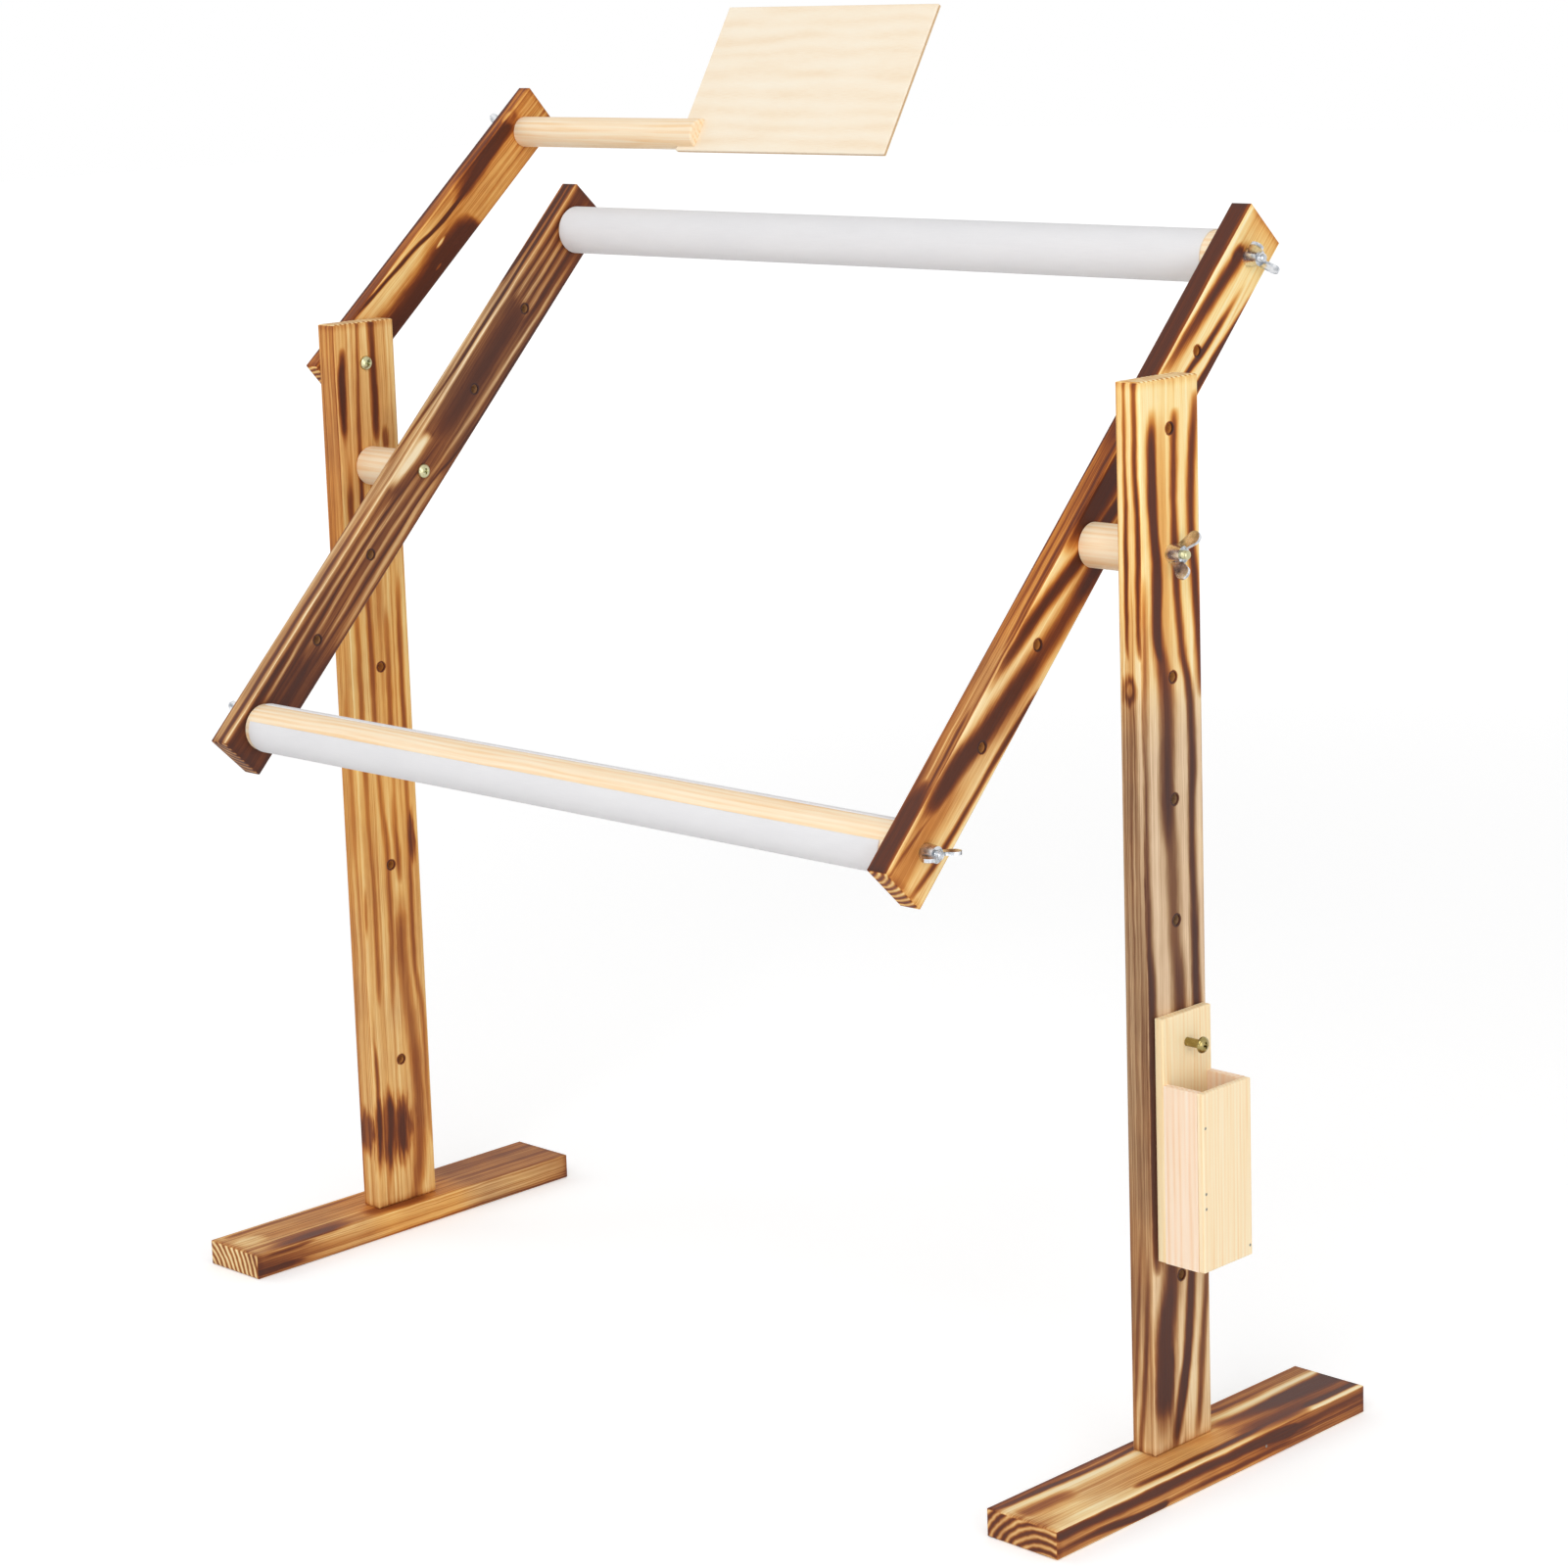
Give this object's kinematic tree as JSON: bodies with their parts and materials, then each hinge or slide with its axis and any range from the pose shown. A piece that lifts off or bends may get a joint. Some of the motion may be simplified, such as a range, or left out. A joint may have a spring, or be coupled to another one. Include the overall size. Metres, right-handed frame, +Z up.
{
  "type": "embroidery frame floor stand",
  "caption": "Wooden floor stand for embroidery: arms with cloth-edged rollers tilt between posts on feet, with a swinging pattern board and a hanging open pen box.",
  "frame": {"origin": "middle of the bounding box on the floor", "axes": "+X from the left post to the right post as the stitcher sees them, +Y from the stitcher to the back, +Z up"},
  "size_m": [0.8895, 0.4524, 0.9602],
  "materials": {
    "scorched_pine": "satin, scorched and varnished",
    "dark_scorched_pine": "satin, deeply scorched and varnished",
    "pale_wood": "smooth, bare",
    "box_wood": "smooth, clear varnish",
    "plywood": "smooth, bare",
    "cotton_cloth": "matte woven",
    "yellow_zinc_steel": "yellow zinc plated",
    "zinc_steel": "bright zinc plated"
  },
  "bodies": {
    "stand": {"left_foot": "dark_scorched_pine", "right_foot": "dark_scorched_pine", "left_post": "scorched_pine", "right_post": "scorched_pine", "left_foot_screws": "yellow_zinc_steel", "right_foot_screws": "yellow_zinc_steel", "pivot_washers": "zinc_steel", "pattern_arm_bolt": "yellow_zinc_steel", "caddy_bolt": "yellow_zinc_steel", "caddy_bolt_washer": "yellow_zinc_steel", "caddy_bolt_nut": "yellow_zinc_steel"},
    "frame": {"left_arm": "dark_scorched_pine", "right_arm": "dark_scorched_pine", "left_spacer": "pale_wood", "right_spacer": "pale_wood", "left_pivot_bolt": "yellow_zinc_steel", "right_pivot_bolt": "yellow_zinc_steel", "roller_washers": "zinc_steel"},
    "upper_roller": {"upper_roller": "pale_wood", "upper_cloth_strip": "cotton_cloth", "upper_roller_bolts": "zinc_steel"},
    "lower_roller": {"lower_roller": "pale_wood", "lower_cloth_strip": "cotton_cloth", "lower_roller_bolts": "zinc_steel"},
    "pattern_arm": {"pattern_arm": "dark_scorched_pine", "pattern_arm_washer": "zinc_steel", "pattern_stick_washer": "zinc_steel"},
    "pattern_board": {"pattern_stick": "pale_wood", "pattern_board": "plywood", "pattern_stick_bolt": "zinc_steel"},
    "caddy": {"caddy_back_board": "box_wood", "caddy_outer_board": "box_wood", "caddy_near_side": "box_wood", "caddy_far_side": "box_wood", "caddy_bottom_board": "box_wood"},
    "left_pivot_wing_nut": {"left_pivot_wing_nut": "zinc_steel"},
    "right_pivot_wing_nut": {"right_pivot_wing_nut": "zinc_steel"},
    "upper_left_wing_nut": {"upper_left_wing_nut": "zinc_steel"},
    "upper_right_wing_nut": {"upper_right_wing_nut": "zinc_steel"},
    "lower_left_wing_nut": {"lower_left_wing_nut": "zinc_steel"},
    "lower_right_wing_nut": {"lower_right_wing_nut": "zinc_steel"},
    "pattern_arm_wing_nut": {"pattern_arm_wing_nut": "zinc_steel"},
    "pattern_stick_wing_nut": {"pattern_stick_wing_nut": "zinc_steel"}
  },
  "joints": [
    {"name": "frame_tilt", "type": "hinge", "parent": "stand", "child": "frame", "pos_m": [-0.00315, -0.02423, 0.618], "axis": [1, 0, 0], "continuous": true},
    {"name": "upper_roller_turn", "type": "hinge", "parent": "frame", "child": "upper_roller", "pos_m": [-0.00315, 0.14249, 0.79064], "axis": [1, 0, 0], "continuous": true},
    {"name": "lower_roller_turn", "type": "hinge", "parent": "frame", "child": "lower_roller", "pos_m": [-0.00315, -0.19095, 0.44536], "axis": [1, 0, 0], "continuous": true},
    {"name": "pattern_arm_swing", "type": "hinge", "parent": "stand", "child": "pattern_arm", "pos_m": [-0.41205, -0.02423, 0.698], "axis": [1, 0, 0], "range_deg": [-60, 170]},
    {"name": "pattern_board_tilt", "type": "hinge", "parent": "pattern_arm", "child": "pattern_board", "pos_m": [-0.41205, 0.16822, 0.8653], "axis": [1, 0, 0], "range_deg": [-140, 150]},
    {"name": "caddy_swing", "type": "hinge", "parent": "stand", "child": "caddy", "pos_m": [0.40785, -0.02423, 0.298], "axis": [1, 0, 0], "continuous": true},
    {"name": "left_pivot_nut_turn", "type": "hinge", "parent": "frame", "child": "left_pivot_wing_nut", "pos_m": [-0.41175, -0.02423, 0.618], "axis": [-1, 0, 0], "continuous": true},
    {"name": "right_pivot_nut_turn", "type": "hinge", "parent": "frame", "child": "right_pivot_wing_nut", "pos_m": [0.40545, -0.02423, 0.618], "axis": [1, 0, 0], "continuous": true},
    {"name": "upper_left_nut_turn", "type": "hinge", "parent": "upper_roller", "child": "upper_left_wing_nut", "pos_m": [-0.34645, 0.14249, 0.79064], "axis": [-1, 0, 0], "continuous": true},
    {"name": "upper_right_nut_turn", "type": "hinge", "parent": "upper_roller", "child": "upper_right_wing_nut", "pos_m": [0.34015, 0.14249, 0.79064], "axis": [1, 0, 0], "continuous": true},
    {"name": "lower_left_nut_turn", "type": "hinge", "parent": "lower_roller", "child": "lower_left_wing_nut", "pos_m": [-0.34645, -0.19095, 0.44536], "axis": [-1, 0, 0], "continuous": true},
    {"name": "lower_right_nut_turn", "type": "hinge", "parent": "lower_roller", "child": "lower_right_wing_nut", "pos_m": [0.34015, -0.19095, 0.44536], "axis": [1, 0, 0], "continuous": true},
    {"name": "pattern_arm_nut_turn", "type": "hinge", "parent": "stand", "child": "pattern_arm_wing_nut", "pos_m": [-0.42605, -0.02423, 0.698], "axis": [-1, 0, 0], "continuous": true},
    {"name": "pattern_stick_nut_turn", "type": "hinge", "parent": "pattern_board", "child": "pattern_stick_wing_nut", "pos_m": [-0.42605, 0.16822, 0.8653], "axis": [-1, 0, 0], "continuous": true}
  ]
}
